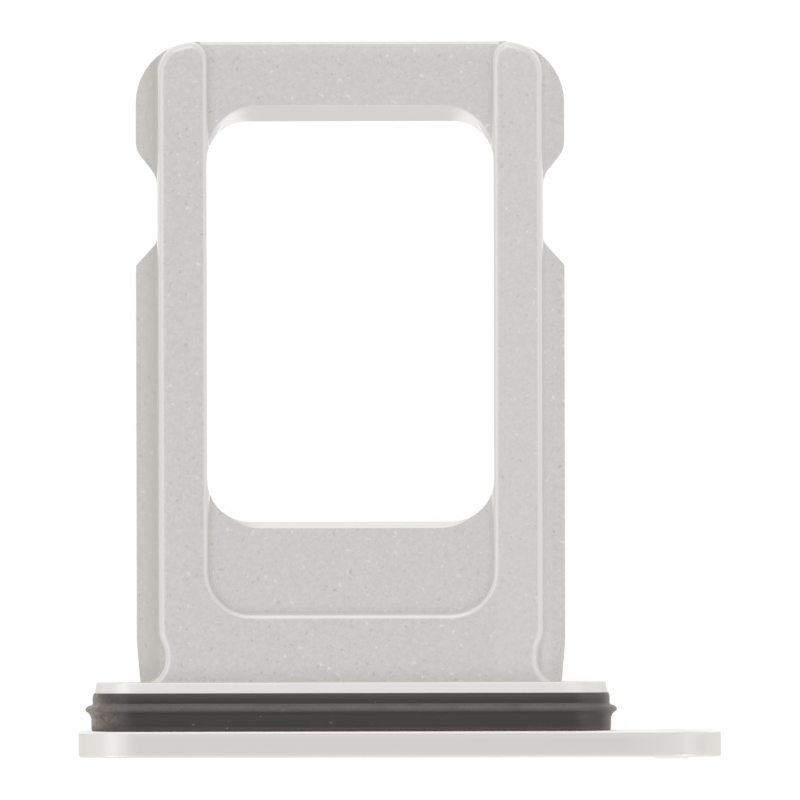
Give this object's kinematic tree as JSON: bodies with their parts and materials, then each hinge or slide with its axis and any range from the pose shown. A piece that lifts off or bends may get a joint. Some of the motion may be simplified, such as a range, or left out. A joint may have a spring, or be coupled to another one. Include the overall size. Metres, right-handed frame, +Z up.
{
  "type": "sim card tray",
  "caption": "Slim metal card tray with an open contact window, raised rails, notched side guides, a lipped rubber seal and a rounded front plate with a pin hole.",
  "frame": {"origin": "centre line of the card frame in the plane of the card's seat, which is the front plate's middle plane, at the plate's outer face", "axes": "+Y is the way the tray goes in, +X along the front plate towards the pin hole, +Z up out of the rail side; the card pocket faces down"},
  "size_m": [0.0181, 0.0201, 0.0028],
  "materials": {
    "blasted_metal": "fine bead-blasted, clear anodised",
    "seal_rubber": "satin moulded"
  },
  "bodies": {
    "root": {"tray": "blasted_metal", "seal_ring": "seal_rubber"}
  },
  "joints": []
}
